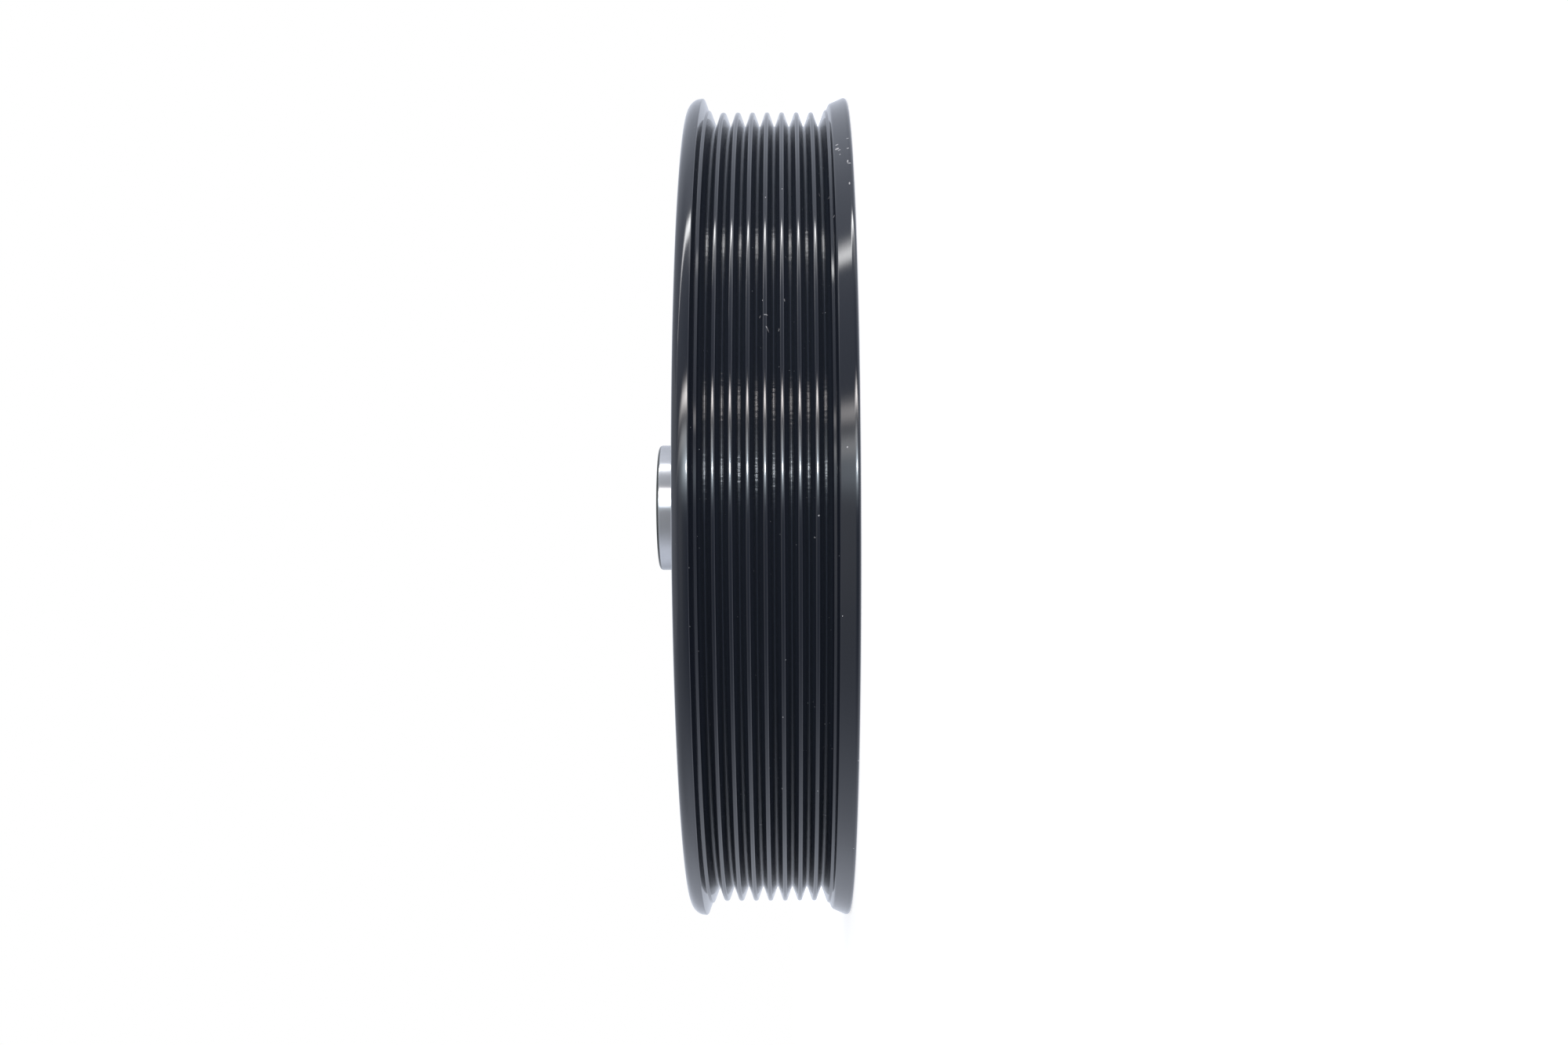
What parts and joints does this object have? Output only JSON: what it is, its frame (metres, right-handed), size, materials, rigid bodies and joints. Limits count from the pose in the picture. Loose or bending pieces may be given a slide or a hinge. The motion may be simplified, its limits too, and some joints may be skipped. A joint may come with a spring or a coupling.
{
  "type": "crankshaft pulley",
  "caption": "Crankshaft pulley: a grooved ring with two flanges on a rubber-mounted cast hub, with a bare steel snout, keyed bore, bolt seat and puller holes.",
  "frame": {"origin": "on the axis, in the plane of the ring's front face, on which the part rests", "axes": "+Z along the axis, from the front face towards the hub's snout; +X points through the keyway"},
  "size_m": [0.2048, 0.2048, 0.0474],
  "materials": {
    "gloss_black_coat": "gloss",
    "rubber": "matte",
    "hub_iron": "satin"
  },
  "bodies": {
    "root": {"pulley_ring": "gloss_black_coat", "rubber_ring": "rubber", "hub": "hub_iron"}
  },
  "joints": []
}
